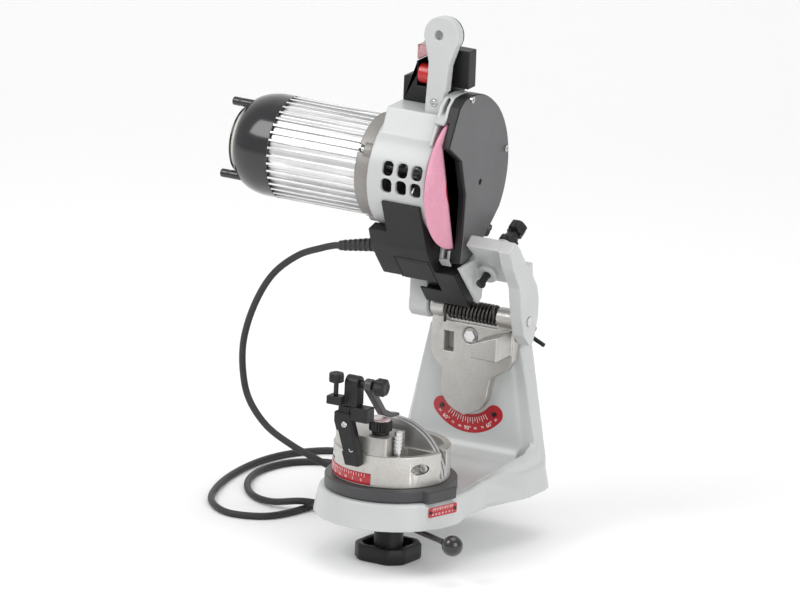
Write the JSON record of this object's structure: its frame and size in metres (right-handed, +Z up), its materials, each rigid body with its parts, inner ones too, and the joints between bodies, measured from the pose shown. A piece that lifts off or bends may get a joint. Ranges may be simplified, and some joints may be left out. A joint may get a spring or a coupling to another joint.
{
  "type": "electric chainsaw sharpener",
  "caption": "Bench grinder for saw chains: a motor head with a thin pink wheel and side cover swings down on a tilting bracket over a swivelling chain vise on a cast base.",
  "frame": {"origin": "centre of the four bench bolt bores, in the underside of the cast base", "axes": "+X along the motor shaft towards the wheel cover, +Y to the back, +Z up"},
  "size_m": [0.3875, 0.429, 0.5487],
  "materials": {
    "cast_paint": "semi gloss grey paint",
    "bare_alloy": "bare die casting",
    "ribbed_alloy": "bright extruded",
    "flange_alloy": "matt casting",
    "jaw_steel": "ground and polished",
    "bright_steel": "turned",
    "dark_steel": "oiled spring steel",
    "laminations": "stacked laminations",
    "copper": "lacquered copper wire",
    "black_plastic": "fine textured",
    "gloss_black": "gloss moulding",
    "dark_grey_plastic": "satin moulding",
    "red_plate": "printed plate",
    "red_plastic": "gloss",
    "clear_hood": "clear tinted",
    "stone": "pink ceramic abrasive",
    "cord_rubber": "smooth",
    "pale_plastic": "moulded"
  },
  "bodies": {
    "base": {"base_casting": "cast_paint", "vise_scale_plate": "red_plate", "tilt_scale_plate": "red_plate", "scale_screws": "bright_steel", "cord": "cord_rubber", "plug": "cord_rubber"},
    "vise": {"vise_ring": "dark_grey_plastic", "vise_body": "bare_alloy", "vise_dial": "red_plate", "vise_stud": "bright_steel", "fixed_jaw": "jaw_steel", "jaw_bolts": "bright_steel", "clamp_post": "bright_steel", "chain_stop_arm": "black_plastic", "chain_stop_block": "black_plastic"},
    "jaw": {"moving_jaw": "jaw_steel"},
    "pawl": {"chain_pawl": "dark_grey_plastic"},
    "thumb_screw": {"stop_thumb_screw": "black_plastic"},
    "cross_screw": {"cross_knob": "black_plastic"},
    "advance_screw": {"advance_knob": "black_plastic"},
    "lock_knob": {"vise_lock_knob": "gloss_black"},
    "lever": {"clamp_lever": "gloss_black"},
    "bracket": {"tilt_bracket": "bare_alloy", "bracket_bolt": "bright_steel", "pivot_bolt": "bright_steel", "hinge_shaft": "bright_steel", "torsion_spring": "dark_steel", "spring_sleeve": "black_plastic"},
    "tilt_lock": {"tilt_lock_lever": "black_plastic"},
    "head": {"swing_arm": "cast_paint", "motor_housing": "cast_paint", "head_screws": "bright_steel", "motor_flange": "flange_alloy", "motor_barrel": "ribbed_alloy", "fan_cowl": "gloss_black", "stator_core": "laminations", "stator_windings": "copper", "motor_bearings": "bright_steel", "wheel_cover": "black_plastic", "cover_plate": "dark_grey_plastic", "spark_deflector": "pale_plastic", "electric_box": "black_plastic", "box_lid": "black_plastic", "strain_relief": "cord_rubber", "run_capacitor": "pale_plastic", "terminal_block": "pale_plastic", "handle_front": "cast_paint", "handle_back": "black_plastic", "switch_box": "black_plastic"},
    "rotor": {"motor_shaft": "bright_steel", "rotor_core": "laminations", "cooling_fan": "black_plastic", "wheel_flanges": "bright_steel", "grinding_wheel": "stone", "wheel_label": "red_plate", "wheel_nut": "bright_steel"},
    "rocker": {"switch_rocker": "red_plastic"},
    "hood": {"switch_hood": "clear_hood"},
    "depth_screw": {"stop_screw": "black_plastic"},
    "depth_lock": {"stop_lock_knob": "black_plastic"}
  },
  "joints": [
    {"name": "head_tilt", "type": "hinge", "parent": "base", "child": "bracket", "pos_m": [0, 0.044, 0.096], "axis": [0, 1, 0], "range_deg": [-30, 30], "deforming": ["cord"]},
    {"name": "tilt_lock_turn", "type": "hinge", "parent": "bracket", "child": "tilt_lock", "pos_m": [0, 0.078, 0.096], "axis": [0, 1, 0], "range_deg": [-35, 0]},
    {"name": "head_swing", "type": "hinge", "parent": "bracket", "child": "head", "pos_m": [0, 0.035, 0.178], "axis": [1, 0, 0], "range_deg": [0, 76], "stiffness_Nm_per_rad": 5, "springref_deg": -91.67, "deforming": ["torsion_spring", "cord"]},
    {"name": "wheel_spin", "type": "hinge", "parent": "head", "child": "rotor", "pos_m": [0, 0.00356, 0.32475], "axis": [1, 0, 0], "continuous": true},
    {"name": "switch_press", "type": "hinge", "parent": "head", "child": "rocker", "pos_m": [-0.046, 0.017, 0.426], "axis": [1, 0, 0], "range_deg": [-14, 0]},
    {"name": "hood_lift", "type": "hinge", "parent": "head", "child": "hood", "pos_m": [-0.046, 0.027, 0.4555], "axis": [1, 0, 0], "range_deg": [-85, 0]},
    {"name": "depth_screw_turn", "type": "hinge", "parent": "head", "child": "depth_screw", "pos_m": [0.03, 0.03504, 0.23572], "axis": [0, 0.8746, 0.4848], "range_deg": [-360, 360]},
    {"name": "depth_lock_turn", "type": "hinge", "parent": "head", "child": "depth_lock", "pos_m": [0.03, 0.03504, 0.23572], "axis": [0, 0.8746, 0.4848], "range_deg": [-180, 180]},
    {"name": "vise_turn", "type": "hinge", "parent": "base", "child": "vise", "pos_m": [0, -0.118, 0.03], "axis": [0, 0, -1], "range_deg": [-30, 30]},
    {"name": "lever_turn", "type": "hinge", "parent": "vise", "child": "lever", "pos_m": [0, -0.118, -0.008], "axis": [0, 0, 1], "range_deg": [-60, 0]},
    {"name": "jaw_close", "type": "slide", "parent": "vise", "child": "jaw", "axis": [0, -1, 0], "range_m": [0, 0.0012]},
    {"name": "lock_knob_turn", "type": "hinge", "parent": "vise", "child": "lock_knob", "pos_m": [0, -0.118, -0.03], "axis": [0, 0, 1], "range_deg": [-180, 180]},
    {"name": "pawl_flip", "type": "hinge", "parent": "vise", "child": "pawl", "pos_m": [0, -0.186, 0.151], "axis": [-1, 0, 0], "range_deg": [-70, 0]},
    {"name": "thumb_screw_turn", "type": "hinge", "parent": "vise", "child": "thumb_screw", "pos_m": [-0.025, -0.198, 0.14], "axis": [0, 0, 1], "range_deg": [-180, 180]},
    {"name": "cross_screw_turn", "type": "hinge", "parent": "vise", "child": "cross_screw", "pos_m": [0, -0.186, 0.151], "axis": [1, 0, 0], "range_deg": [-180, 180]},
    {"name": "advance_turn", "type": "hinge", "parent": "vise", "child": "advance_screw", "pos_m": [0.007, -0.158, 0.1], "axis": [0, 0, 1], "range_deg": [-180, 180]}
  ],
  "couplings": [
    {"joint": "jaw_close", "follows": "lever_turn", "m_per_rad": -0.0011459}
  ]
}
